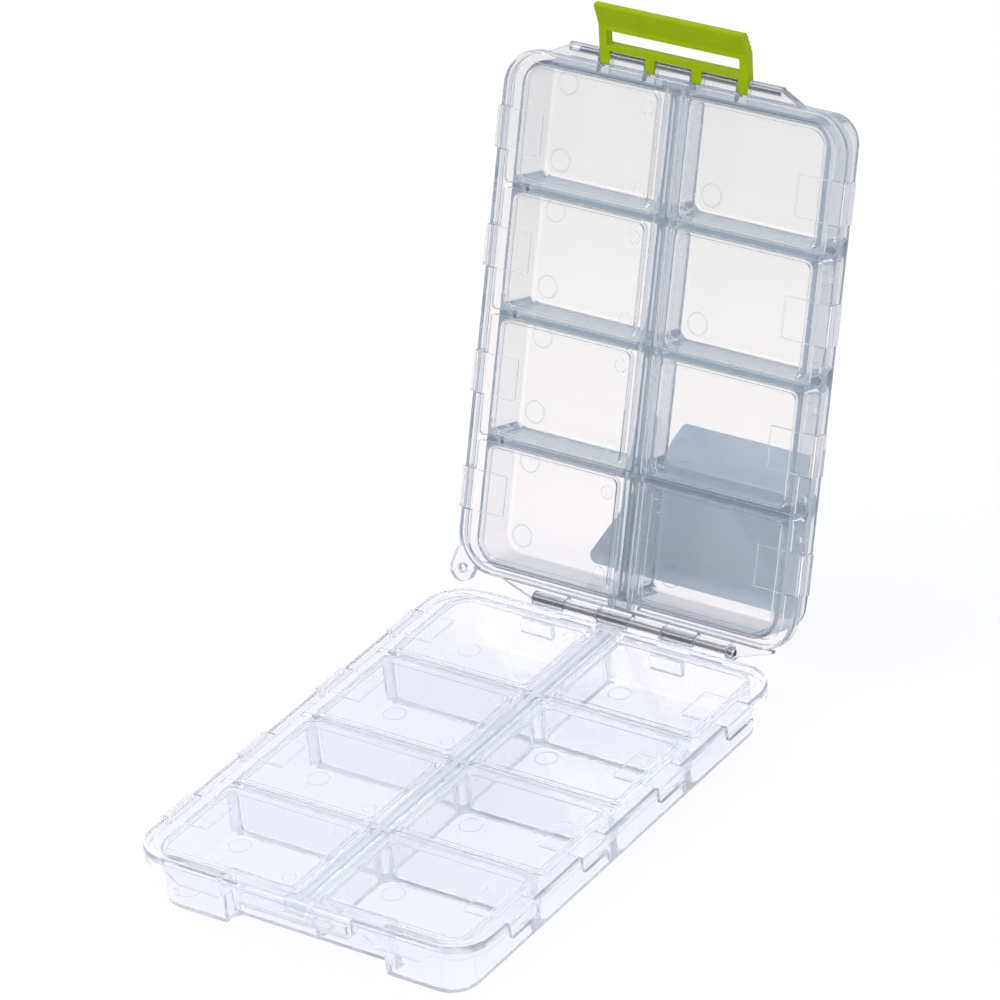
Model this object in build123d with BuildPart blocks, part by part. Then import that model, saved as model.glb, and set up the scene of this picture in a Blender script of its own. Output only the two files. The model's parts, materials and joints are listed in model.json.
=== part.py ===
from build123d import *
import os
from math import cos, radians, sin

os.makedirs("parts", exist_ok=True)

# Two trays book-hinged along one short side, eight lidded compartments in each.
# Each tray has its own frame: u across, v away from the hinge axis, w out through the lids.
# w = 0 is the parting plane, where the two trays meet when the box is shut.
# The world frame has its origin at the centre of the lower tray's underside, Z up, hinge at the back.

# Trays
tray_width = 148.0
tray_length = 199.0
tray_depth = 23.0
tray_corner_radius = 15.0
rim_height = 5.5
rim_side_overhang = 7.5
rim_end_overhang = 3.2
rim_wall = 1.6
rim_flange = 3.05
body_corner_radius = 11.0
rim_rounding = 1.2
underside_rounding = 2.2
floor_thickness = 1.6
floor_rounding = 1.2
pocket_corner_radius = 4.0
parting_gap = 0.3
joining_overlap = 0.5
cut_margin = 1.0

# Lids and compartments
rows = 4
lid_length = 66.7
lid_width = 45.6
lid_row_gap = 2.4
lid_spine_gap = 4.6
lid_thickness = 1.1
lid_drop = 0.45
lid_panel_side_inset = 3.7
lid_panel_end_inset = 2.3
lid_panel_rise = 0.25
lid_panel_corner_radius = 0.8
lid_skirt_side_inset = 4.3
lid_skirt_end_inset = 1.0
lid_skirt_thickness = 0.9
lid_skirt_depth = 1.8
lid_corner_radius = 1.5
lid_outer_corner_radius = 8.0
lid_clearance = 0.3
lid_seat_gap = 0.1
lid_ledge = 0.6
side_wall = 1.4
spine_wall = 1.8

# Snap tabs at the lids' outer edges
tab_width = 15.5
tab_end_shift = 3.5
tab_pad_depth = 13.6
tab_pad_drop = 0.5
tab_side_clearance = 0.35
tab_hook_thickness = 1.2
tab_hook_proud = 1.0
tab_hook_clearance = 0.3
tab_hook_drop = 0.7
tab_lip = 0.7

# Lid hinges: round barrels on the lids, held by the ears of a rail clipped down the spine
barrel_radius = 1.1
barrel_end_gap = 0.3
barrel_offset = 3.4
barrel_depth = 1.75
lid_pin_radius = 0.8
lid_pin_fit = 0.05
lid_pin_reach = 0.75
rail_half_width = 4.9
rail_rib_half_width = 1.3
rail_base_thickness = 1.6
rail_base_clearance = 0.35
rail_ear_length = 1.9
rail_end_length = 3.2
rail_fit = 0.1
clip_size = 2.6
clip_tongue_length = 0.9
clip_tongue_height = 1.2

# Main hinge
hinge_offset = 3.2
hinge_radius = 2.7
hinge_pin_radius = 1.25
hinge_pin_fit = 0.05
hinge_start = -37.0
hinge_pitch = 14.3
hinge_count = 6
hinge_side_gap = 0.25
hinge_web_overlap = 1.0
gusset_length = 15.0
gusset_ear_length = 2.4
gusset_reach = 1.6
open_angle = 109.4
relief_depth = 2.4
relief_height = 6.0
relief_drop = 3.8

# Latch hinge on the upper tray
latch_centre = -1.7
latch_axis_offset = 3.4
latch_axis_drop = 2.75
latch_pin_radius = 1.1
latch_pin_fit = 0.05
latch_knuckle_radius = 2.3
latch_knuckle_end = 45.6
latch_pin_left = 41.0
latch_pin_right = 45.4
latch_shoulder_length = 9.0

# Latch, in its own frame at the pin: v along the plate, w towards the box when shut
latch_lean = 15.0
latch_width = 63.6
latch_inner_face = 2.0
latch_thickness = 3.9
leg_count = 4
leg_pitch = 19.8
leg_width = 4.2
leg_side_gap = 0.45
leg_below_axis = 3.7
leg_rounding = 1.7
leg_slot_wall = 0.2
latch_bar_gap = 0.4
bar_height = 2.1
window_height = 5.8
window_side_post = 3.2
window_rounding = 0.6
grip_height = 10.7
grip_lean = 2.6
grip_ridges = 3
grip_ridge_radius = 0.45
grip_edge_rounding = 0.8
grip_tip_thickness = 3.1
grip_shoulder = 2.0

# Catch on the lower tray's front rim
apron_half_width = 24.5
apron_thickness = 1.8
apron_drop = 8.3
apron_proud = 1.0
apron_corner = 3.0
catch_half_width = 23.0
catch_height = 3.4
catch_proud = 1.2
catch_clearance = 0.45
recess_half_width = 34.5
recess_depth = 6.5
recess_wall = 1.6
recess_rounding = 3.0
lobe_inner = 29.0
lobe_outer = 57.0
lobe_slant = 5.0
lobe_drop = 3.6
lobe_thickness = 1.6

# Eye for a lanyard on the upper tray's hinge corner
eye_radius = 5.0
eye_hole_radius = 1.9
eye_thickness = 3.2
eye_inset = 3.0

# Label
label_tip = 31.0
label_side = 62.0
label_start = 12.0
label_end = 73.0
label_shoulder = 6.0
label_rounding = 3.0
label_thickness = 0.25

# Worked-out places
rim_top = -parting_gap / 2
rim_bottom = rim_top - rim_height
rim_start = hinge_offset
rim_end = hinge_offset + tray_length
rim_side = tray_width / 2
rim_hollow_top = rim_top - rim_flange
tray_middle = (rim_start + rim_end) / 2
body_side = rim_side - rim_side_overhang
body_start = rim_start + rim_end_overhang
body_end = rim_end - rim_end_overhang
pocket_outer = body_side - side_wall
floor_top = -tray_depth + floor_thickness
row_pitch = lid_width + lid_row_gap
grid_length = rows * row_pitch - lid_row_gap
grid_start = tray_middle - grid_length / 2
grid_end = grid_start + grid_length
lid_inner = lid_spine_gap / 2
lid_outer = lid_inner + lid_length
lid_top = -lid_drop
lid_bottom = lid_top - lid_thickness
ledge_top = lid_bottom - lid_seat_gap
latch_axis_v = rim_end + latch_axis_offset
latch_outer_face = latch_inner_face - latch_thickness
bar_start = latch_knuckle_radius + latch_bar_gap
window_start = bar_start + bar_height
grip_start = window_start + window_height
grip_end = grip_start + grip_height
grip_tip_face = latch_inner_face + grip_lean - grip_tip_thickness
leg_places = [latch_centre + (i - (leg_count - 1) / 2) * leg_pitch for i in range(leg_count)]
hook_outer = rim_side + tab_hook_proud
hook_inner = hook_outer - tab_hook_thickness
rim_notch_side = hook_inner - tab_hook_clearance
rail_base_top = -(barrel_depth + barrel_radius + rail_base_clearance)
rail_base_bottom = rail_base_top - rail_base_thickness
rail_start = grid_start - lid_clearance - rail_end_length
rail_end = grid_end + lid_clearance + rail_end_length
ear_spans = [(rail_start, rail_start + rail_end_length), (rail_end - rail_end_length, rail_end)]
for ear in range(1, rows):
    ear_middle = grid_start + ear * row_pitch - lid_row_gap / 2
    ear_spans.append((ear_middle - rail_ear_length / 2, ear_middle + rail_ear_length / 2))
skirt_corner_radius = pocket_corner_radius - (lid_skirt_end_inset - lid_ledge)

# Frames of the two trays as the box stands open, and the sign that turns world X into u
lean = radians(180 - open_angle)
hinge_point = (0, tray_middle, tray_depth)
lower_frame = Plane(origin=hinge_point, x_dir=(-1, 0, 0), z_dir=(0, 0, 1))
upper_frame = Plane(origin=hinge_point, x_dir=(1, 0, 0), z_dir=(0, -sin(lean), cos(lean)))
latch_turn = lean + radians(latch_lean)
latch_frame = Plane(origin=upper_frame.from_local_coords((0, latch_axis_v, -latch_axis_drop)),
                    x_dir=(1, 0, 0), z_dir=(0, -sin(latch_turn), cos(latch_turn)))
LOWER, UPPER = -1, 1


def row_start(row):
    return grid_start + row * row_pitch


def row_middle(row):
    return row_start(row) + lid_width / 2


def tab_middle(row):
    """The end rows' tabs stand nearer the tray's middle, clear of its round corners."""
    return row_middle(row) + tab_end_shift * ((row == 0) - (row == rows - 1))


def side_plane(frame, u):
    """Plane square to u at a place across the tray, its x along v and its y along w."""
    return Plane(origin=frame.from_local_coords((u, 0, 0)), x_dir=frame.y_dir, z_dir=frame.x_dir)


def cross_plane(frame, v):
    """Plane square to v, its x along w and its y along u."""
    return Plane(origin=frame.from_local_coords((0, v, 0)), x_dir=frame.z_dir, z_dir=frame.y_dir)


def cell_outline(column, row, inner, outer, end_grow, radius):
    """One cell of the lid grid between two places across the tray, rounder in a tray corner."""
    with BuildSketch() as outline:
        with Locations((column * (inner + outer) / 2, row_middle(row))):
            RectangleRounded(outer - inner, lid_width + 2 * end_grow, radius)
        with Locations((0, tray_middle)):
            RectangleRounded(2 * outer, grid_length + 2 * end_grow, lid_outer_corner_radius + end_grow,
                             mode=Mode.INTERSECT)
    return outline.sketch


def lid_outline(column, row, side_grow, end_grow, radius):
    return cell_outline(column, row, lid_inner - side_grow, lid_outer + side_grow, end_grow, radius)


def pocket_outline(column, row, recessed):
    """A compartment's outline; the front row steps round the latch recess of the lower tray."""
    with BuildSketch() as outline:
        add(cell_outline(column, row, spine_wall / 2, pocket_outer, -lid_ledge, pocket_corner_radius))
        if recessed and row == rows - 1:
            with Locations((0, body_end - recess_depth - recess_wall)):
                Rectangle(2 * (recess_half_width + recess_wall), 2 * (recess_depth + recess_wall),
                          align=(Align.CENTER, Align.MIN), mode=Mode.SUBTRACT)
    return outline.sketch


def block(frame, u_range, v_range, w_range, mode=Mode.ADD):
    """Adds or cuts a square block given by its ranges in the tray's frame."""
    with BuildSketch(frame.offset(w_range[0])) as footprint:
        with Locations(((u_range[0] + u_range[1]) / 2, (v_range[0] + v_range[1]) / 2)):
            Rectangle(abs(u_range[1] - u_range[0]), abs(v_range[1] - v_range[0]))
    extrude(footprint.sketch, amount=w_range[1] - w_range[0], mode=mode)


def rod(plane, centre, radius, length, mode=Mode.ADD):
    """Adds or cuts a round bar that starts on a plane."""
    with BuildSketch(plane) as section:
        with Locations(centre):
            Circle(radius)
    extrude(section.sketch, amount=length, mode=mode)


def knuckle_span(index):
    """World X range of one knuckle of the main hinge, counted from the left."""
    start = hinge_start + index * hinge_pitch
    return start + hinge_side_gap, start + hinge_pitch - hinge_side_gap


def tray_body(frame, recessed):
    """Rim, walls, floor and compartments, common to both trays. Call inside a part block."""
    axis = Axis(frame.origin, frame.z_dir)
    with BuildSketch(frame.offset(rim_bottom)) as rim_outline:
        with Locations((0, tray_middle)):
            RectangleRounded(tray_width, tray_length, tray_corner_radius)
    rim_faces = extrude(rim_outline.sketch, amount=rim_height).faces().sort_by(axis)
    fillet(rim_faces[0].edges() + rim_faces[-1].edges(), rim_rounding)
    with BuildSketch(frame.offset(rim_bottom)) as body_outline:
        with Locations((0, tray_middle)):
            RectangleRounded(2 * body_side, body_end - body_start, body_corner_radius)
        if recessed:
            with Locations((0, body_end + recess_depth)):
                RectangleRounded(2 * recess_half_width, 4 * recess_depth, recess_rounding,
                                 mode=Mode.SUBTRACT)
    shell = extrude(body_outline.sketch, amount=-(tray_depth + rim_bottom))
    fillet(shell.faces().sort_by(axis)[0].edges(), underside_rounding)
    with BuildSketch(frame.offset(rim_bottom)) as rim_hollow:
        with Locations((0, tray_middle)):
            RectangleRounded(tray_width - 2 * rim_wall, tray_length - 2 * rim_wall,
                             tray_corner_radius - rim_wall)
            RectangleRounded(2 * body_side, body_end - body_start, body_corner_radius, mode=Mode.SUBTRACT)
            Rectangle(2 * (rail_half_width + rim_wall), tray_length, mode=Mode.SUBTRACT)
    extrude(rim_hollow.sketch, amount=rim_hollow_top - rim_bottom, mode=Mode.SUBTRACT)
    with BuildSketch(frame.offset(floor_top)) as pocket_outlines:
        for column in (-1, 1):
            for row in range(rows):
                add(pocket_outline(column, row, recessed))
    pockets = extrude(pocket_outlines.sketch, amount=-floor_top, mode=Mode.PRIVATE)
    for pocket in pockets.solids():
        floor_edges = pocket.faces().sort_by(axis)[0].edges()
        add(pocket.fillet(floor_rounding, floor_edges), mode=Mode.SUBTRACT)
    if recessed:
        with BuildSketch(frame.offset(rim_bottom + recess_wall)) as front_mouths:
            for column in (-1, 1):
                add(pocket_outline(column, rows - 1, False))
        extrude(front_mouths.sketch, amount=-(rim_bottom + recess_wall), mode=Mode.SUBTRACT)


def lid_seats(frame):
    """Recesses that let the lids, their tabs and the spine rail in from above, cut last of all."""
    with BuildSketch(frame.offset(lid_top)) as rib_tops:
        with Locations((0, tray_middle)):
            RectangleRounded(2 * (lid_outer + lid_clearance), grid_length + 2 * lid_clearance,
                             lid_outer_corner_radius + lid_clearance)
    extrude(rib_tops.sketch, amount=-lid_top, mode=Mode.SUBTRACT)
    with BuildSketch(frame.offset(ledge_top)) as seats:
        for column in (-1, 1):
            for row in range(rows):
                add(lid_outline(column, row, lid_clearance, lid_clearance,
                                lid_corner_radius + lid_clearance))
    extrude(seats.sketch, amount=-ledge_top, mode=Mode.SUBTRACT)
    notch = tab_width / 2 + tab_side_clearance
    for column in (-1, 1):
        for row in range(rows):
            v_range = (tab_middle(row) - notch, tab_middle(row) + notch)
            past = column * (rim_side + cut_margin)
            block(frame, (column * lid_outer, past), v_range, (ledge_top, 0), Mode.SUBTRACT)
            block(frame, (column * rim_notch_side, past), v_range, (rim_bottom - cut_margin, 0),
                  Mode.SUBTRACT)
    half = rail_half_width + rail_fit
    block(frame, (-half, half), (rail_start - rail_fit, rail_end + rail_fit),
          (rail_base_bottom - rail_fit, 0), Mode.SUBTRACT)
    half = clip_size / 2 + rail_fit
    reach = clip_tongue_length + rail_fit
    block(frame, (-half, half), (rail_start - reach, rail_end + reach),
          (rail_base_bottom - rail_fit, rail_base_bottom + clip_tongue_height + rail_fit), Mode.SUBTRACT)


def hinge_knuckles(frame, side, spans):
    """Barrels on the hinge axis with webs that run back into the rim."""
    for low, high in spans:
        start = min(side * low, side * high)
        with BuildSketch(side_plane(frame, start)) as knuckle:
            Circle(hinge_radius)
            with Locations((0, rim_top)):
                Rectangle(hinge_offset + hinge_web_overlap, hinge_radius + rim_top,
                          align=(Align.MIN, Align.MAX))
            Circle(hinge_pin_radius + hinge_pin_fit, mode=Mode.SUBTRACT)
        extrude(knuckle.sketch, amount=high - low)


def hinge_reliefs(frame, side, spans):
    """Boxes on the inside of the back wall, behind the other tray's knuckles."""
    wall = grid_start + lid_ledge
    for low, high in spans:
        block(frame, (side * low, side * high), (wall - joining_overlap, wall + relief_depth),
              (-relief_drop - relief_height, -relief_drop))


lower_spans = [knuckle_span(i) for i in range(1, hinge_count, 2)]
upper_spans = [knuckle_span(i) for i in range(0, hinge_count, 2)]
hinge_left = upper_spans[0][0]
hinge_right = lower_spans[-1][1] + 2 * hinge_side_gap


# Lower tray, with the catch and the recess for the latch's grip in front
with BuildPart() as lower_tray:
    tray_body(lower_frame, True)
    hinge_knuckles(lower_frame, LOWER, lower_spans)
    hinge_reliefs(lower_frame, LOWER, (upper_spans[0], upper_spans[2]))
    apron_face = rim_end + apron_proud
    with BuildSketch(cross_plane(lower_frame, apron_face)) as apron:
        with Locations((rim_top - apron_drop / 2, 0)):
            Rectangle(apron_drop, 2 * apron_half_width)
        fillet(apron.vertices().group_by(Axis.X)[0], apron_corner)
    extrude(amount=-(apron_thickness + apron_proud))
    catch_top = latch_axis_drop - window_start - catch_clearance
    block(lower_frame, (-catch_half_width, catch_half_width),
          (apron_face - joining_overlap, apron_face + catch_proud), (catch_top - catch_height, catch_top))
    for side in (-1, 1):
        with BuildSketch(cross_plane(lower_frame, rim_end)):
            with BuildLine():
                Polyline((rim_bottom + rim_rounding, side * lobe_inner), (rim_bottom, side * lobe_inner),
                         (rim_bottom - lobe_drop, side * (lobe_inner + lobe_slant)),
                         (rim_bottom - lobe_drop, side * (lobe_outer - lobe_slant)),
                         (rim_bottom, side * lobe_outer),
                         (rim_bottom + rim_rounding, side * lobe_outer), close=True)
            make_face()
        extrude(amount=-lobe_thickness)
    lid_seats(lower_frame)
lower_tray.part.label = "lower_tray"
export_step(lower_tray.part, "parts/lower_tray.step")


# Upper tray, with the latch's hinge in front and a lanyard eye at one back corner
with BuildPart() as upper_tray:
    tray_body(upper_frame, False)
    hinge_knuckles(upper_frame, UPPER, upper_spans)
    hinge_knuckles(upper_frame, UPPER, [(hinge_right, hinge_right + gusset_ear_length)])
    gusset_roots = ((hinge_left, -1), (hinge_right + gusset_ear_length, 1))
    with BuildSketch(upper_frame.offset(-hinge_radius)) as gussets:
        for root, way in gusset_roots:
            with BuildLine():
                Polyline((root, rim_start + hinge_web_overlap), (root, -gusset_reach),
                         (root + way * gusset_length, rim_start),
                         (root + way * gusset_length, rim_start + hinge_web_overlap), close=True)
            make_face()
    extrude(amount=hinge_radius + rim_top)
    for place in leg_places:
        half = leg_width / 2 + leg_side_gap
        block(upper_frame, (place - half, place + half), (body_end + leg_slot_wall, rim_end + cut_margin),
              (rim_bottom - cut_margin, 0), Mode.SUBTRACT)
    for low, high in zip([latch_centre - latch_knuckle_end] + [place + half for place in leg_places],
                         [place - half for place in leg_places] + [latch_centre + latch_knuckle_end]):
        with BuildSketch(side_plane(upper_frame, low)) as latch_knuckle:
            with Locations((latch_axis_v, -latch_axis_drop)):
                Circle(latch_knuckle_radius)
                Rectangle(latch_axis_offset + joining_overlap, 2 * latch_knuckle_radius,
                          align=(Align.MAX, Align.CENTER))
                Circle(latch_pin_radius + latch_pin_fit, mode=Mode.SUBTRACT)
        extrude(amount=high - low)
    with BuildSketch(upper_frame.offset(-latch_axis_drop - latch_knuckle_radius)) as shoulders:
        for way in (-1, 1):
            root = latch_centre + way * latch_knuckle_end
            tip = root + way * latch_shoulder_length
            with BuildLine():
                Polyline((root, rim_end - joining_overlap), (root, latch_axis_v + latch_knuckle_radius / 2),
                         (tip, rim_end), (tip, rim_end - joining_overlap), close=True)
            make_face()
    extrude(amount=2 * latch_knuckle_radius)
    eye_u = -(rim_side - eye_inset)
    with BuildSketch(upper_frame.offset(rim_top)):
        arc_reach = tray_corner_radius * (1 - sin(radians(45)))
        strap_middle = ((eye_u - rim_side + arc_reach) / 2, rim_start + arc_reach / 2)
        SlotCenterPoint(strap_middle, (eye_u, rim_start), 2 * eye_radius)
        with Locations((eye_u, rim_start)):
            Circle(eye_hole_radius, mode=Mode.SUBTRACT)
    extrude(amount=-eye_thickness)
    lid_seats(upper_frame)
upper_tray.part.label = "upper_tray"
export_step(upper_tray.part, "parts/upper_tray.step")


# Rails clipped down the spines; their ears hold the lids' hinge pins
def spine_rail(frame):
    with BuildPart() as rail:
        wide = (-rail_half_width, rail_half_width)
        narrow = (-rail_rib_half_width, rail_rib_half_width)
        block(frame, wide, (rail_start, rail_end), (rail_base_bottom, rail_base_top))
        block(frame, narrow, (rail_start, rail_end), (rail_base_top, lid_top))
        for ear_span in ear_spans:
            block(frame, wide, ear_span, (rail_base_top, lid_top))
        for column in (-1, 1):
            rod(cross_plane(frame, rail_start), (-barrel_depth, column * barrel_offset),
                lid_pin_radius + lid_pin_fit, rail_end - rail_start, Mode.SUBTRACT)
        for end in (rail_start, rail_end):
            way = 1 if end == rail_end else -1
            half = clip_size / 2
            block(frame, (-half, half), (end - way, end + way * clip_tongue_length),
                  (rail_base_bottom, rail_base_bottom + clip_tongue_height))
            middle = end - way * rail_end_length / 2
            block(frame, (-half, half), (middle - half, middle + half), (lid_top, lid_top + lid_panel_rise))
    return rail.part


# Lids, with a skirt inside the compartment, a snap tab over the rim and a hinge barrel at the spine
def lid(frame, column, row):
    start, middle = row_start(row), tab_middle(row)
    with BuildPart() as piece:
        with BuildSketch(frame.offset(lid_bottom)) as plate:
            add(lid_outline(column, row, 0, 0, lid_corner_radius))
        extrude(plate.sketch, amount=lid_thickness)
        with BuildSketch(frame.offset(lid_top)) as panel:
            add(lid_outline(column, row, -lid_panel_side_inset, -lid_panel_end_inset,
                            lid_panel_corner_radius))
        extrude(panel.sketch, amount=lid_panel_rise)
        with BuildSketch(frame.offset(lid_bottom)) as skirt:
            add(lid_outline(column, row, -lid_skirt_side_inset, -lid_skirt_end_inset, skirt_corner_radius))
            add(lid_outline(column, row, -lid_skirt_side_inset - lid_skirt_thickness,
                            -lid_skirt_end_inset - lid_skirt_thickness,
                            skirt_corner_radius - lid_skirt_thickness), mode=Mode.SUBTRACT)
        extrude(skirt.sketch, amount=-lid_skirt_depth)
        tab = (middle - tab_width / 2, middle + tab_width / 2)
        pad_start = column * (lid_outer - tab_pad_depth)
        block(frame, (pad_start, column * lid_outer), tab, (lid_top, lid_top + lid_panel_rise))
        block(frame, (pad_start, column * (lid_outer - lid_skirt_side_inset)), tab,
              (lid_bottom - tab_pad_drop, lid_bottom))
        hook_bottom = rim_bottom - tab_hook_drop
        with BuildSketch(cross_plane(frame, tab[0])) as hook:
            with BuildLine():
                Polyline(*[(w, column * u) for u, w in (
                    (lid_outer - joining_overlap, lid_bottom), (lid_outer - joining_overlap, lid_top),
                    (hook_outer, lid_top),
                    (hook_outer, hook_bottom + tab_lip), (hook_outer + tab_lip, hook_bottom),
                    (hook_inner, hook_bottom), (hook_inner, lid_bottom))], close=True)
            make_face()
        extrude(hook.sketch, amount=tab_width)
        barrel = (start + barrel_end_gap, start + lid_width - barrel_end_gap)
        centre = (-barrel_depth, column * barrel_offset)
        rod(cross_plane(frame, barrel[0]), centre, barrel_radius, barrel[1] - barrel[0])
        reach = lid_clearance + lid_pin_reach
        rod(cross_plane(frame, start - reach), centre, lid_pin_radius, lid_width + 2 * reach)
    return piece.part


for name, frame in (("lower", lower_frame), ("upper", upper_frame)):
    rail = spine_rail(frame)
    rail.label = f"{name}_spine_rail"
    export_step(rail, f"parts/{name}_spine_rail.step")
    for hand, side in (("left", -1), ("right", 1)):
        column = side if name == "upper" else -side
        for row in range(rows):
            piece = lid(frame, column, row)
            piece.label = f"{name}_lid_{hand}_{row + 1}"
            export_step(piece, f"parts/{piece.label}.step")


# Main hinge pin
with BuildPart() as hinge_pin:
    with BuildSketch(side_plane(lower_frame, -(hinge_right + gusset_ear_length))):
        Circle(hinge_pin_radius)
    extrude(amount=hinge_right + gusset_ear_length - hinge_left)
hinge_pin.part.label = "hinge_pin"
export_step(hinge_pin.part, "parts/hinge_pin.step")


# Latch pin
with BuildPart() as latch_pin:
    with BuildSketch(side_plane(upper_frame, latch_centre - latch_pin_left)):
        with Locations((latch_axis_v, -latch_axis_drop)):
            Circle(latch_pin_radius)
    extrude(amount=latch_pin_left + latch_pin_right)
latch_pin.part.label = "latch_pin"
export_step(latch_pin.part, "parts/latch_pin.step")


# Latch, raised and leaning a little over the upper tray's lids
with BuildPart() as latch:
    latch_side = side_plane(latch_frame, latch_centre - latch_width / 2)
    lean_start = grip_start + grip_shoulder
    with BuildSketch(latch_side) as plate_section:
        with BuildLine():
            Polyline((bar_start, latch_inner_face), (lean_start, latch_inner_face),
                     (grip_end, latch_inner_face + grip_lean), (grip_end, grip_tip_face),
                     (lean_start, latch_outer_face), (bar_start, latch_outer_face), close=True)
        make_face()
        fillet(plate_section.vertices().group_by(Axis.X)[-1], grip_edge_rounding)
    extrude(amount=latch_width)
    half_window = latch_width / 2 - window_side_post
    with BuildSketch(latch_frame.offset(latch_inner_face)):
        with Locations((latch_centre, (window_start + grip_start) / 2)):
            RectangleRounded(2 * half_window, window_height, window_rounding)
    extrude(amount=-latch_thickness, mode=Mode.SUBTRACT)
    for place in leg_places:
        with BuildSketch(side_plane(latch_frame, place - leg_width / 2)) as leg:
            with Locations((-leg_below_axis, latch_outer_face)):
                Rectangle(leg_below_axis + bar_start + joining_overlap, latch_thickness, align=Align.MIN)
            fillet(leg.vertices().group_by(Axis.X)[0], leg_rounding)
        extrude(amount=leg_width)
    rod(latch_side, (0, 0), latch_pin_radius + latch_pin_fit, latch_width, Mode.SUBTRACT)
    for step in range(1, grip_ridges + 1):
        share = step / (grip_ridges + 1)
        ridge_v = lean_start + share * (grip_end - lean_start)
        ridge_w = latch_outer_face + share * (grip_tip_face - latch_outer_face)
        rod(latch_side, (ridge_v, ridge_w), grip_ridge_radius, latch_width)
latch.part.label = "latch"
export_step(latch.part, "parts/latch.step")


# Blank label on the upper tray's outer face
with BuildPart() as back_label:
    with BuildSketch(upper_frame.offset(-tray_depth)) as label_outline:
        with BuildLine():
            Polyline((-label_tip, label_start), (label_side, label_start), (label_side, label_end),
                     (label_shoulder, label_end), close=True)
        make_face()
        fillet(label_outline.vertices(), label_rounding)
    extrude(amount=-label_thickness)
back_label.part.label = "back_label"
export_step(back_label.part, "parts/back_label.step")
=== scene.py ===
import json
from math import atan2, cos, pi, radians, sin

import bmesh
import bpy
from mathutils import Matrix, Vector


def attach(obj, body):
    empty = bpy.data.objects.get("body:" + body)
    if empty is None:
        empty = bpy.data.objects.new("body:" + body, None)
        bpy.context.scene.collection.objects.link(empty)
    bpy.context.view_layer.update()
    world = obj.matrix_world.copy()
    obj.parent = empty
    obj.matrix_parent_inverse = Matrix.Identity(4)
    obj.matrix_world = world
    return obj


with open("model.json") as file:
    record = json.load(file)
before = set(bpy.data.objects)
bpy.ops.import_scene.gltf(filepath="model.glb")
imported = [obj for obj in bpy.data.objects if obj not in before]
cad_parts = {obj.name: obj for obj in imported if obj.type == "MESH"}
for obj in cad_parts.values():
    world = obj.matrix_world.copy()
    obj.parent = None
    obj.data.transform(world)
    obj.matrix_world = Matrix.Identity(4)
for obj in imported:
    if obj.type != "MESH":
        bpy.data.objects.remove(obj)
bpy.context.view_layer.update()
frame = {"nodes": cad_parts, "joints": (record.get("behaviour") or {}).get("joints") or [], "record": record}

# Hinge places in metres and turns in radians at rest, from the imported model
MM = 0.001
HINGES = {joint["child"]: joint for joint in frame["joints"]}
OPEN_ANGLE = radians(-HINGES["upper"]["range_deg"][0])
HINGE_POINT = Vector(HINGES["upper"]["pos_m"])
UPPER_TURN = pi - OPEN_ANGLE
LATCH_POINT = Vector(HINGES["latch"]["pos_m"])
LATCH_TURN = UPPER_TURN + radians(HINGES["latch"]["range_deg"][1])

# Places in each tray's own frame, in millimetres: across, away from the hinge, up out of the lids
ROWS = 4
ROW_PITCH = 48.0
FIRST_ROW_MIDDLE = 30.7
ROW_MIDDLES = [FIRST_ROW_MIDDLE + ROW_PITCH * row for row in range(ROWS)]
ROW_GAPS = [middle + ROW_PITCH / 2 for middle in ROW_MIDDLES[:-1]]
LID_HALF_WIDTH = 22.8
FLOOR_LEVEL = -21.4
LID_UNDERSIDE = -1.55
LID_FACE = -0.45
PANEL_FACE = -0.2
RIM_ROOF = -3.2
RIM_LIP = -5.65
RIM_INNER = 66.5
RIM_OUTER = 72.4
TAB_START = 55.4
TAB_END = 68.4
TAB_HALF_WIDTH = 7.75
TAB_SHIFTS = (3.5, 0, 0, -3.5)

# Places in the latch's own frame, in millimetres from its pin; the grip leans out beyond its foot
LATCH_FACE = 2.0
GRIP_FOOT = 12.6
GRIP_RUN = 8.7
GRIP_LEAN = 2.6

# Small moulded forms, in millimetres; each is sunk a little in the face that it stands on
SUNK = 0.03
FLOOR_MARK_RADIUS = 4.2
FLOOR_MARK_RISE = 0.14
FLOOR_MARK_NEAR = 15.6
FLOOR_MARK_FAR = 13.4
FLOOR_MARK_PLACES = {"lower": (58.8, -8.8), "upper": (-58.8, 7.6)}
RIM_MARK_RADIUS = 2.5
RIM_MARK_RISE = 0.14
RIM_MARK_INSET = 2.9
RIM_MARK_SPREAD = 7.5
LID_MARK_RADIUS = 2.5
LID_MARK_RISE = 0.1
LID_MARK_PLACE = 11.0
LID_MARK_SPREAD = 15.4
GATE_PLACE = 43.0
GATE_HALF_WIDTH = 0.5
GATE_LENGTH = 1.4
GATE_INSET = 0.5
GATE_RISE = 0.12
RIDGE_HALF_WIDTH = 0.2
RIDGE_RISE = 0.1

# Camera, solved from the photograph's lid grid
CAMERA_PLACE = (1.15776, -1.44834, 1.21884)
CAMERA_TURN = (59.356, 5.521, 34.603)
CAMERA_LENS = 222.99
CAMERA_SENSOR = 36.0

# Colours as the renderer wants them, linear
PLASTIC_TINT = (0.985, 0.99, 0.995, 1)
PLASTIC_ABSORB = (0.48, 0.575, 0.66, 1)
PLASTIC_SHADOW = (0.985, 0.985, 0.985, 1)
PALE_HAZE = (0.80, 0.815, 0.89, 1)
# Darker haze for the upper tray's plastics: painted shade, as the upper tray sees less light than the lower
# tray
PAINTED_SHADE_HAZE = (0.41, 0.44, 0.485, 1)
LATCH_GREEN = (0.25, 0.355, 0.0005, 1)
LATCH_GREEN_PALE = (0.315, 0.43, 0.001, 1)
STEEL_GREY = (0.075, 0.078, 0.084, 1)
LABEL_BACK = (0.76, 0.83, 0.91, 1)
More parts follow.
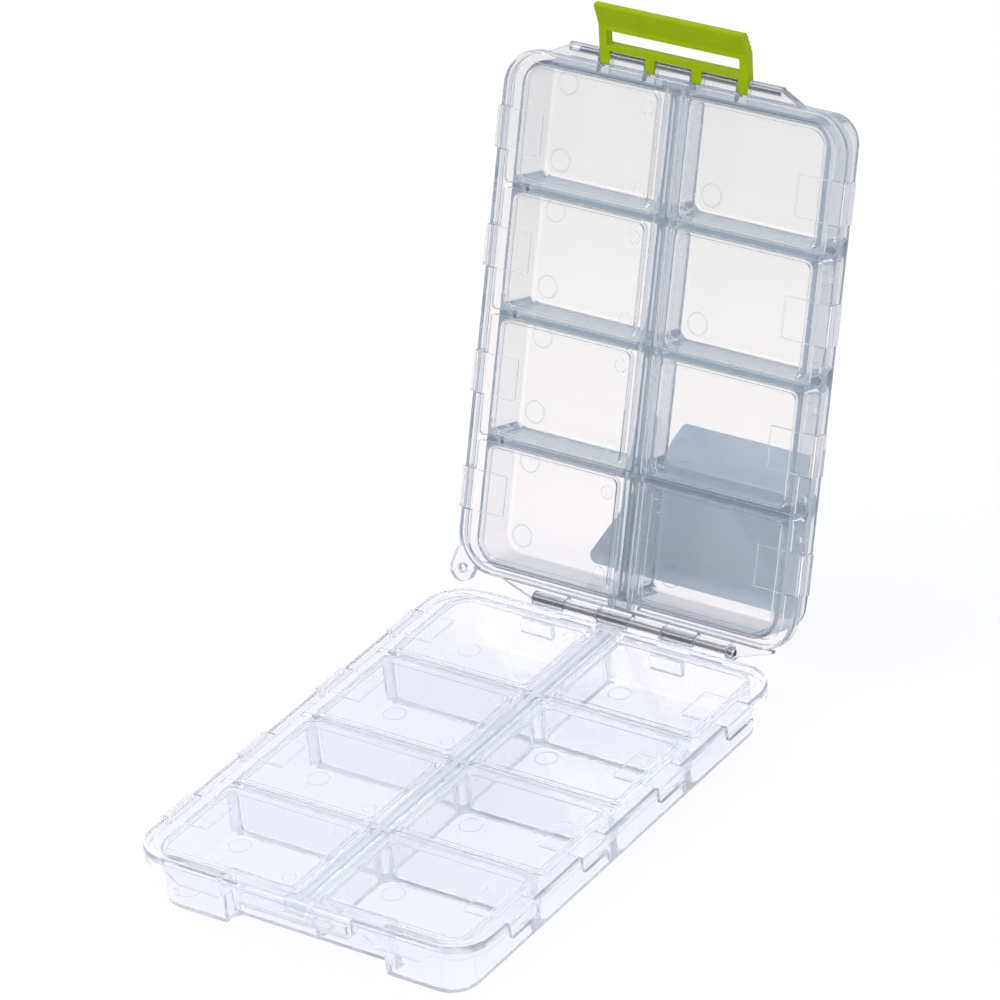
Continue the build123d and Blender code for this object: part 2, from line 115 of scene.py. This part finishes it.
# Darker colour for the label's outer face: painted shade, to hold back the key lamp that falls on it
LABEL_FACE_PAINTED_SHADE = (0.47, 0.54, 0.63, 1)
FLOOR_WHITE = (1, 1, 1, 1)
FLOOR_MATTE = (0.86, 0.87, 0.88, 1)
SKY_COLOUR = (0.83, 0.85, 0.91, 1)

# Clear plastics: how dense the tint is, the haze, its share face on, what edge on adds, waves in metres
PLASTICS = {
    "clear_tray": {"density": 15.0, "haze": PALE_HAZE, "milky": 0.09, "edge_milky": 0.12, "wave": 0.00007},
    "clear_lid": {"density": 15.0, "haze": PALE_HAZE, "milky": 0.06, "edge_milky": 0.08, "wave": 0.00003},
    "clear_rail": {"density": 50.0, "haze": PALE_HAZE, "milky": 0.24, "edge_milky": 0.15, "wave": 0.00004,
                   "scratch": 0.04},
    # The last three entries are darker, denser copies of the first three for the upper tray: painted shade,
    # not a different plastic
    "deep_tray": {"density": 75.0, "haze": PAINTED_SHADE_HAZE, "milky": 0.07, "edge_milky": 0.48, "wave": 0.00007},
    "deep_lid": {"density": 30.0, "haze": PAINTED_SHADE_HAZE, "milky": 0.02, "edge_milky": 0.20, "wave": 0.00003},
    "deep_rail": {"density": 110.0, "haze": PAINTED_SHADE_HAZE, "milky": 0.18, "edge_milky": 0.30, "wave": 0.00004,
                  "scratch": 0.04},
}
PLASTIC_INDEX = 1.49
EDGE_POWER = 1.4
LONGEST_PATH = 5.5

# Light that the floor sends through clear plastic, by distance behind the object's middle in metres
FLOOR_GLOW = 1.55
FLOOR_GLOW_SHARE = 0.8
FLOOR_TONES = ((0.08, (0.74, 0.706, 0.75)), (0.183, (0.99, 0.90, 0.865)), (0.266, (0.935, 0.847, 0.793)),
               (0.357, (0.85, 0.782, 0.722)), (0.45, (0.745, 0.694, 0.637)))
FLOOR_HALF_WIDTH = 8.0
FLOOR_DROP = 0.0003

# Lamps: place and disk size in metres, power in watts; all aim at the middle of the object
SKY_STRENGTH = 0.85
LAMP_AIM = (0, 0.05, 0.1)
LAMPS = (("key", (-1.3, -1.0, 2.2), 1.6, 28), ("fill", (1.9, -0.6, 1.6), 1.8, 14),
         ("back", (0.2, 2.2, 1.9), 1.4, 14))


class Shader:
    """A material with short calls to add nodes and link them."""

    def __init__(self, name):
        self.material = bpy.data.materials.new(name)
        self.material.use_nodes = True
        self.tree = self.material.node_tree
        self.tree.nodes.clear()
        self.output = self.add("ShaderNodeOutputMaterial")
        self.coordinates = self.add("ShaderNodeTexCoord").outputs
        self.place = self.coordinates["Object"]

    def put(self, value, socket):
        """Links a node's output to a socket, or sets the socket to a constant."""
        if isinstance(value, bpy.types.NodeSocket):
            self.tree.links.new(value, socket)
        else:
            socket.default_value = value

    def add(self, kind, settings=(), **inputs):
        node = self.tree.nodes.new(kind)
        for key, value in dict(settings).items():
            setattr(node, key, value)
        for key, value in inputs.items():
            self.put(value, node.inputs[key.replace("_", " ")])
        return node

    def math(self, operation, first, second):
        node = self.add("ShaderNodeMath", settings={"operation": operation})
        self.put(first, node.inputs[0])
        self.put(second, node.inputs[1])
        return node.outputs[0]

    def mix(self, share, first, second):
        """Mixes two shaders; a share of 1 is the second."""
        node = self.add("ShaderNodeMixShader", Fac=share)
        self.put(first.outputs[0], node.inputs[1])
        self.put(second.outputs[0], node.inputs[2])
        return node

    def blend(self, share, first, second, blend_type="MIX"):
        """Mixes two colours; a share of 1 is the second."""
        node = self.add("ShaderNodeMix", settings={"data_type": "RGBA", "blend_type": blend_type})
        for value, socket in ((share, "Factor"), (first, "A"), (second, "B")):
            self.put(value, node.inputs[socket])
        return node.outputs["Result"]

    def noise(self, scale, detail=2.0, roughness=0.5, stretch=None):
        vector = self.place
        if stretch:
            vector = self.add("ShaderNodeMapping", Vector=self.place, Scale=stretch).outputs["Vector"]
        return self.add("ShaderNodeTexNoise", Vector=vector, Scale=scale, Detail=detail,
                        Roughness=roughness).outputs["Fac"]

    def spread(self, value, low, high):
        """Maps a 0 to 1 value to a range."""
        return self.add("ShaderNodeMapRange", Value=value, To_Min=low, To_Max=high).outputs["Result"]

    def bump(self, height, distance, strength=1.0, under=None):
        node = self.add("ShaderNodeBump", Height=height, Distance=distance, Strength=strength)
        if under is not None:
            self.put(under, node.inputs["Normal"])
        return node.outputs["Normal"]

    def finish(self, surface, volume=None):
        self.put(surface.outputs[0], self.output.inputs["Surface"])
        if volume is not None:
            self.put(volume.outputs[0], self.output.inputs["Volume"])
        return self.material


def clear_plastic(name, density, haze, milky, edge_milky, wave, scratch=0.0):
    """Clear moulded plastic that lets lamps through, milkier and darker where it is seen edge on."""
    shader = Shader(name)
    waves = shader.bump(shader.noise(70, detail=1.0), wave)
    skin = shader.bump(shader.noise(900, detail=3.0), 0.00001, strength=0.3, under=waves)
    shine = shader.spread(shader.noise(160, detail=4.0), 0.02, 0.06 + scratch)
    glass = shader.add("ShaderNodeBsdfPrincipled", Base_Color=PLASTIC_TINT, Roughness=shine, Normal=skin,
                       IOR=PLASTIC_INDEX, Transmission_Weight=1.0)
    milk = shader.add("ShaderNodeBsdfDiffuse", Color=haze, Normal=skin)
    facing = shader.add("ShaderNodeLayerWeight", Blend=0.5).outputs["Facing"]
    edge = shader.math("POWER", facing, EDGE_POWER)
    body = shader.mix(shader.spread(edge, milky, milky + edge_milky), glass, milk)
    path = shader.add("ShaderNodeLightPath").outputs
    lamp_rays = shader.math("MAXIMUM", path["Is Shadow Ray"], path["Is Diffuse Ray"])
    trapped = shader.math("GREATER_THAN", path["Ray Depth"], LONGEST_PATH)
    through = shader.add("ShaderNodeBsdfTransparent", Color=PLASTIC_SHADOW)
    surface = shader.mix(shader.math("MAXIMUM", lamp_rays, trapped), body, through)
    inside = shader.add("ShaderNodeVolumeAbsorption", Color=PLASTIC_ABSORB, Density=density)
    return shader.finish(surface, inside)


def latch_plastic():
    """Yellow-green moulded plastic, a little cloudy, with a soft shine and a fine moulded grain."""
    shader = Shader("latch_plastic")
    cloud = shader.noise(120, detail=4.0)
    grain = shader.bump(shader.noise(1500, detail=2.0), 0.00003, strength=0.4)
    return shader.finish(shader.add(
        "ShaderNodeBsdfPrincipled", Base_Color=shader.blend(cloud, LATCH_GREEN, LATCH_GREEN_PALE),
        Roughness=shader.spread(cloud, 0.30, 0.42), Normal=grain, Specular_IOR_Level=0.05))


def pin_steel():
    """Drawn wire: fine lines round the pin and soft smudges."""
    shader = Shader("pin_steel")
    lines = shader.noise(400, detail=3.0, stretch=(8, 1, 1))
    smudge = shader.noise(90, detail=3.0)
    return shader.finish(shader.add(
        "ShaderNodeBsdfPrincipled", Base_Color=STEEL_GREY, Metallic=1.0,
        Roughness=shader.spread(smudge, 0.18, 0.34), Normal=shader.bump(lines, 0.00002)))


def label_film():
    """Plain blue-grey sticker with painted shade on its outer face, so its glued side is paler, with a satin
    face and faint paper mottling.
    """
    shader = Shader("label_film")
    tone = shader.spread(shader.noise(60, detail=5.0, roughness=0.6), 0.94, 1.02)
    mottle = shader.add("ShaderNodeCombineColor", Red=tone, Green=tone, Blue=tone).outputs["Color"]
    # The outer face takes the darker colour: painted shade
    normal = shader.add("ShaderNodeSeparateXYZ", Vector=shader.coordinates["Normal"])
    outer = shader.math("GREATER_THAN", normal.outputs["Y"], 0.0)
    side = shader.blend(outer, LABEL_BACK, LABEL_FACE_PAINTED_SHADE)
    grain = shader.bump(shader.noise(700, detail=4.0), 0.00002, strength=0.5)
    return shader.finish(shader.add(
        "ShaderNodeBsdfPrincipled", Base_Color=shader.blend(1.0, side, mottle, "MULTIPLY"),
        Roughness=0.45, Normal=grain))


def paint_nodes():
    """Paints every node by its slot; the upper tray and its parts take darker copies of the clear plastics,
    which are painted shade.
    """
    materials = {name: clear_plastic(name, **look) for name, look in PLASTICS.items()}
    materials["latch_plastic"] = latch_plastic()
    materials["pin_steel"] = pin_steel()
    materials["label_film"] = label_film()
    for part in frame["record"]["subparts"]:
        slot = part["material_slot"]
        # The upper tray's parts swap to the darker copies: painted shade
        if part["node"].startswith("upper"):
            slot = slot.replace("clear", "deep")
        node = frame["nodes"][part["node"]]
        node.data.materials.clear()
        node.data.materials.append(materials[slot])
    return materials


def own_frame(turn, origin):
    """Matrix from the upper tray's or the latch's own frame to the world."""
    matrix = Matrix.Rotation(turn, 4, "X")
    matrix.translation = origin
    return matrix


def tray_frame(name):
    if name == "upper":
        return own_frame(UPPER_TURN, HINGE_POINT)
    return Matrix.Translation(HINGE_POINT) @ Matrix.Rotation(pi, 4, "Z")


class Detail:
    """A mesh of small moulded forms, drawn in millimetres in its own frame."""

    def __init__(self, name, body, matrix, material, slot):
        self.name, self.body, self.matrix, self.material, self.slot = name, body, matrix, material, slot
        self.mesh = bmesh.new()

    def loft(self, sections, closed):
        """Skins equal loops of points; closed joins the last loop to the first."""
        loops = [[self.mesh.verts.new(Vector(point) * MM) for point in section] for section in sections]
        pairs = list(zip(loops, loops[1:]))
        if closed:
            pairs.append((loops[-1], loops[0]))
        else:
            self.mesh.faces.new(loops[0])
            self.mesh.faces.new(loops[-1])
        for first, second in pairs:
            for i, corner in enumerate(first):
                after = (i + 1) % len(first)
                self.mesh.faces.new((corner, first[after], second[after], second[i]))

    def ring(self, across, along, level, radius, rise, width=0.5, steps=48):
        """Low round ridge with sloped sides; a rise below 0 hangs from a face."""
        foot = -SUNK if rise > 0 else SUNK
        profile = ((-width / 2, foot), (-width / 5, rise), (width / 5, rise), (width / 2, foot))
        sections = []
        for step in range(steps):
            turn = 2 * pi * step / steps
            sections.append([(across + (radius + out) * cos(turn), along + (radius + out) * sin(turn),
                              level + up) for out, up in profile])
        self.loft(sections, closed=True)

    def pad(self, low, high, level, rise, slope=0.15):
        """Low square boss with sloped sides."""
        outlines = []
        for inset, height in ((0, level - SUNK), (slope, level + rise)):
            left, near = (place + inset for place in low)
            right, far = (place - inset for place in high)
            outlines.append([(left, near, height), (right, near, height), (right, far, height),
                             (left, far, height)])
        self.loft(outlines, closed=False)

    def gusset(self, along):
        """Rib under the rim that runs out from a row wall and narrows towards the edge."""
        roof = RIM_ROOF + 0.05
        sections = []
        for share in (0, 0.25, 0.6, 1):
            half = 0.8 + 1.6 * (1 - share) ** 2
            place = RIM_INNER - 0.05 + share * (RIM_OUTER - RIM_INNER + 0.1)
            low = RIM_LIP + 0.5 - 0.4 * share
            sections.append([(place, along - half, low), (place, along + half, low),
                             (place, along + half, roof), (place, along - half, roof)])
        self.loft(sections, closed=False)

    def finish(self):
        bmesh.ops.transform(self.mesh, matrix=self.matrix, verts=self.mesh.verts)
        bmesh.ops.recalc_face_normals(self.mesh, faces=self.mesh.faces)
        data = bpy.data.meshes.new(self.name)
        self.mesh.to_mesh(data)
        self.mesh.free()
        data.materials.append(self.material)
        piece = bpy.data.objects.new(self.name, data)
        bpy.context.scene.collection.objects.link(piece)
        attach(piece, self.body)


def tray_details(name, material):
    """Round mould marks on the compartment floors, and on the upper tray those under its right rim."""
    marks = Detail(f"{name}_mould_marks", name, tray_frame(name), material, "clear_tray")
    outer, inner = FLOOR_MARK_PLACES[name]
    for middle in ROW_MIDDLES:
        near, far = middle - FLOOR_MARK_NEAR, middle + FLOOR_MARK_FAR
        for across, along in ((outer, near), (outer, far), (inner, near)):
            marks.ring(across, along, FLOOR_LEVEL, FLOOR_MARK_RADIUS, FLOOR_MARK_RISE)
    if name == "upper":
        for gap in ROW_GAPS:
            for along in (gap - RIM_MARK_SPREAD, gap + RIM_MARK_SPREAD):
                marks.ring(RIM_INNER + RIM_MARK_INSET, along, RIM_ROOF, RIM_MARK_RADIUS,
                           -RIM_MARK_RISE, width=0.4)
    marks.finish()


def rim_ribs(material):
    """Ribs under the upper tray's right rim, each a row wall carried on to the edge."""
    ribs = Detail("upper_rim_ribs", "upper", tray_frame("upper"), material, "clear_tray")
    for gap in ROW_GAPS:
        ribs.gusset(gap)
    ribs.finish()


def lid_details(name, hand, row, material):
    """Two small round mould marks under a lid, its gate's stub, and a fine ridge round its finger tab."""
    body = f"{name}_lid_{hand}_{row + 1}"
    side = (-1 if hand == "left" else 1) * (1 if name == "upper" else -1)
    marks = Detail(f"{body}_marks", body, tray_frame(name), material, "clear_lid")
    middle = ROW_MIDDLES[row]
    for along in (middle - LID_MARK_SPREAD, middle + LID_MARK_SPREAD):
        marks.ring(side * LID_MARK_PLACE, along, LID_UNDERSIDE, LID_MARK_RADIUS, -LID_MARK_RISE,
                   width=0.36, steps=36)
    gate_end = middle + LID_HALF_WIDTH - GATE_INSET
    marks.pad((side * GATE_PLACE - GATE_HALF_WIDTH, gate_end - GATE_LENGTH),
              (side * GATE_PLACE + GATE_HALF_WIDTH, gate_end), LID_FACE, GATE_RISE)
    inner = side * TAB_START
    left, right = sorted((inner, side * TAB_END))
    near = middle + TAB_SHIFTS[row] - TAB_HALF_WIDTH
    far = middle + TAB_SHIFTS[row] + TAB_HALF_WIDTH
    marks.pad((inner - RIDGE_HALF_WIDTH, near), (inner + RIDGE_HALF_WIDTH, far), PANEL_FACE, RIDGE_RISE)
    for edge in (near, far):
        marks.pad((left, edge - RIDGE_HALF_WIDTH), (right, edge + RIDGE_HALF_WIDTH), PANEL_FACE, RIDGE_RISE)
    marks.finish()


def latch_details(material):
    """Rib down the second leg, and two small pads on the grip's inner face."""
    latch = own_frame(LATCH_TURN, LATCH_POINT)
    rib = Detail("latch_leg_rib", "latch", latch, material, "latch_plastic")
    rib.pad((-10.6, -2.6), (-9.7, 2.5), LATCH_FACE, 0.4, slope=0.2)
    rib.finish()
    foot = latch @ (Vector((0, GRIP_FOOT, LATCH_FACE)) * MM)
    grip = own_frame(LATCH_TURN + atan2(GRIP_LEAN, GRIP_RUN), foot)
    pads = Detail("latch_grip_pads", "latch", grip, material, "latch_plastic")
    for across in (-17.5, 17.7):
        pads.pad((across - 1.7, 2.6), (across + 1.7, 3.6), 0, 0.16)
    pads.finish()


def details(materials):
    # The upper tray and its lids take the darker copies: painted shade
    for name, look in (("lower", "clear"), ("upper", "deep")):
        tray_details(name, materials[f"{look}_tray"])
        for hand in ("left", "right"):
            for row in range(ROWS):
                lid_details(name, hand, row, materials[f"{look}_lid"])
    rim_ribs(materials["deep_tray"])
    latch_details(materials["latch_plastic"])


def floor():
    """Wide pale floor that shows white, sends graded light through clear plastic and keeps a shadow."""
    shader = Shader("floor")
    matte = shader.add("ShaderNodeBsdfDiffuse", Color=FLOOR_MATTE)
    distance_behind = shader.add("ShaderNodeSeparateXYZ", Vector=shader.place).outputs["Y"]
    tones = shader.add("ShaderNodeValToRGB", Fac=distance_behind)
    stops = tones.color_ramp.elements
    for index, (distance, tone) in enumerate(FLOOR_TONES):
        stop = stops[index] if index < 2 else stops.new(distance)
        stop.position = distance
        stop.color = tone + (1,)
    plain = shader.add("ShaderNodeEmission", Color=FLOOR_WHITE, Strength=1.0)
    graded = shader.add("ShaderNodeEmission", Color=tones.outputs["Color"], Strength=FLOOR_GLOW)
    path = shader.add("ShaderNodeLightPath").outputs
    glow = shader.mix(path["Is Transmission Ray"], plain, graded)
    direct = shader.math("MAXIMUM", path["Is Camera Ray"], path["Is Glossy Ray"])
    seen = shader.math("MAXIMUM", direct, path["Is Transmission Ray"])
    surface = shader.mix(shader.math("MULTIPLY", seen, FLOOR_GLOW_SHARE), matte, glow)
    mesh = bpy.data.meshes.new("floor")
    corners = [(x * FLOOR_HALF_WIDTH, y * FLOOR_HALF_WIDTH, -FLOOR_DROP)
               for x, y in ((-1, -1), (1, -1), (1, 1), (-1, 1))]
    mesh.from_pydata(corners, [], [(0, 1, 2, 3)])
    mesh.materials.append(shader.finish(surface))
    plane = bpy.data.objects.new("floor", mesh)
    bpy.context.scene.collection.objects.link(plane)


def light():
    """Soft even studio: a pale world and three large disk lamps."""
    world = bpy.data.worlds.new("studio")
    bpy.context.scene.world = world
    world.use_nodes = True
    sky = world.node_tree.nodes["Background"]
    sky.inputs["Color"].default_value = SKY_COLOUR
    sky.inputs["Strength"].default_value = SKY_STRENGTH
    for name, place, size, power in LAMPS:
        data = bpy.data.lights.new(name, "AREA")
        data.shape = "DISK"
        data.size = size
        data.energy = power
        lamp = bpy.data.objects.new(name, data)
        lamp.location = place
        lamp.rotation_euler = (Vector(LAMP_AIM) - Vector(place)).to_track_quat("-Z", "Y").to_euler()
        bpy.context.scene.collection.objects.link(lamp)


def camera():
    data = bpy.data.cameras.new("camera")
    data.lens = CAMERA_LENS
    data.sensor_width = CAMERA_SENSOR
    data.clip_end = 50
    holder = bpy.data.objects.new("camera", data)
    holder.location = CAMERA_PLACE
    holder.rotation_euler = [radians(angle) for angle in CAMERA_TURN]
    bpy.context.scene.collection.objects.link(holder)
    bpy.context.scene.camera = holder


camera()
floor()
light()
details(paint_nodes())
bpy.context.scene.view_settings.view_transform = "Standard"
